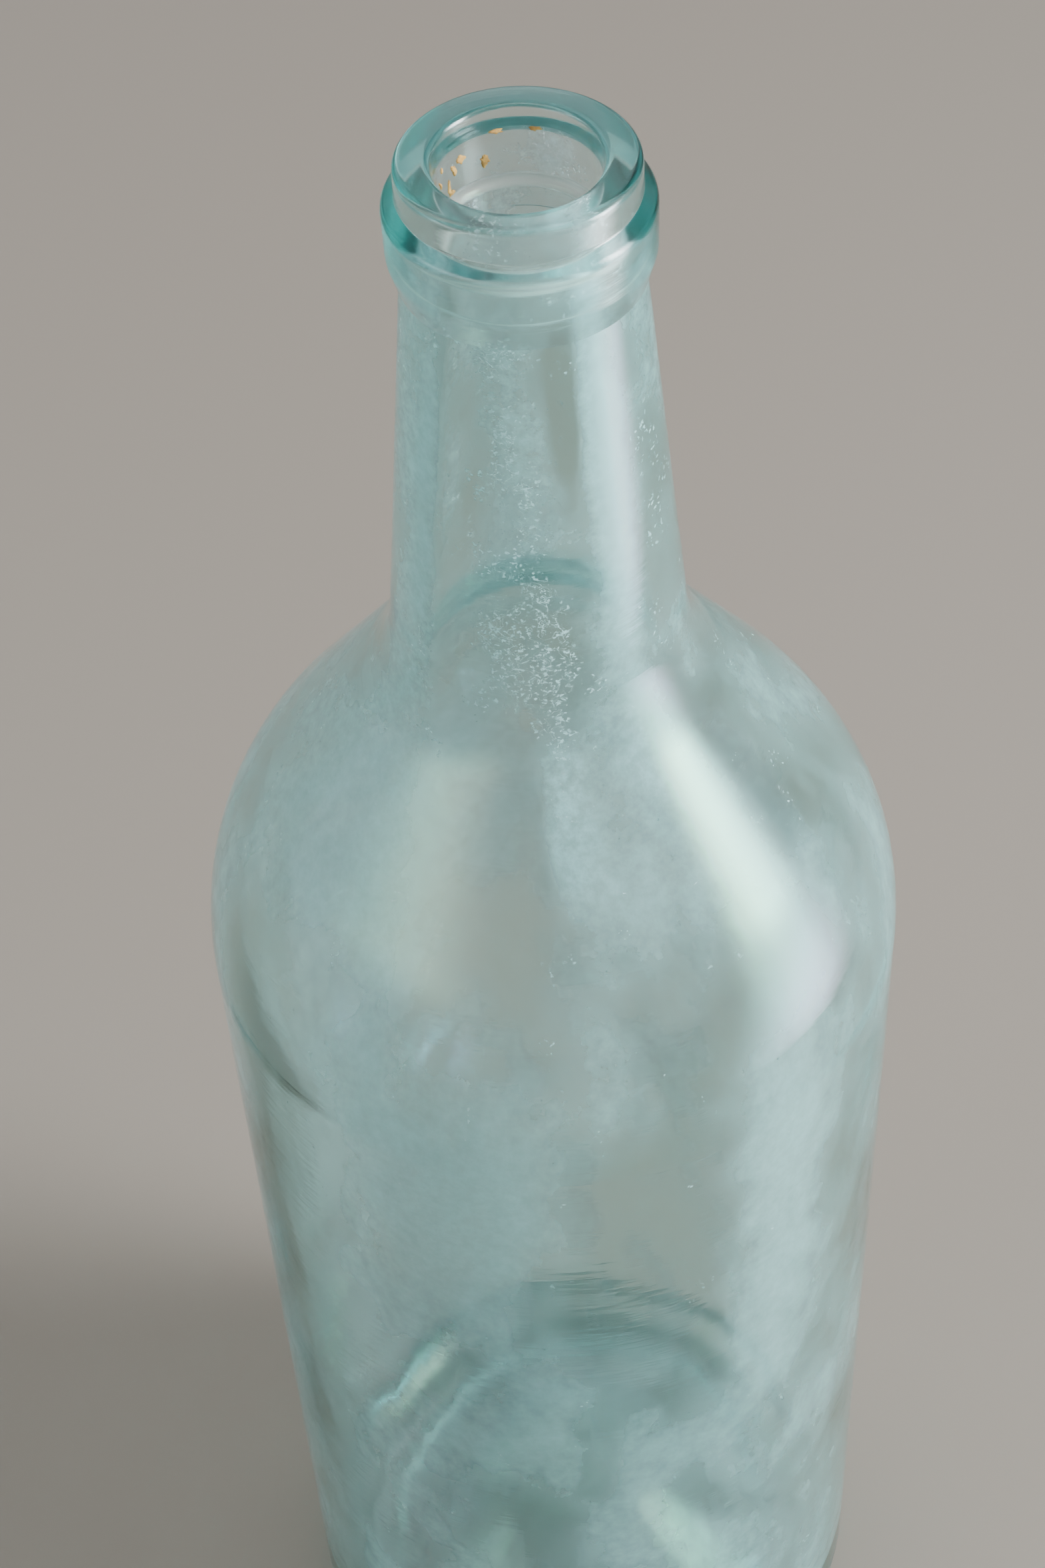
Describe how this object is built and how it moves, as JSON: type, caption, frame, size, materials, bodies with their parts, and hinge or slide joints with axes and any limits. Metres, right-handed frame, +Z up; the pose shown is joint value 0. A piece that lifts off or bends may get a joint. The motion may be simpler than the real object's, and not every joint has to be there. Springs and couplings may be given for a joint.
{
  "type": "glass soda bottle",
  "caption": "Round mouth-blown pale aqua glass soda bottle with a tapering neck, a sloping shoulder and an applied ring-and-collar finish bored for a cork.",
  "frame": {"origin": "centre of the base, on the surface that the bottle stands on", "axes": "+Z up along the bottle's axis of revolution, out of the mouth; +X to the right and +Y away from a viewer in front"},
  "size_m": [0.0917, 0.0918, 0.285],
  "materials": {
    "blown_glass": "gloss",
    "finish_glass": "gloss",
    "dried_residue": "matte"
  },
  "bodies": {
    "root": {"bottle_body": "blown_glass", "applied_finish": "finish_glass", "residue_flecks": "dried_residue"}
  },
  "joints": []
}
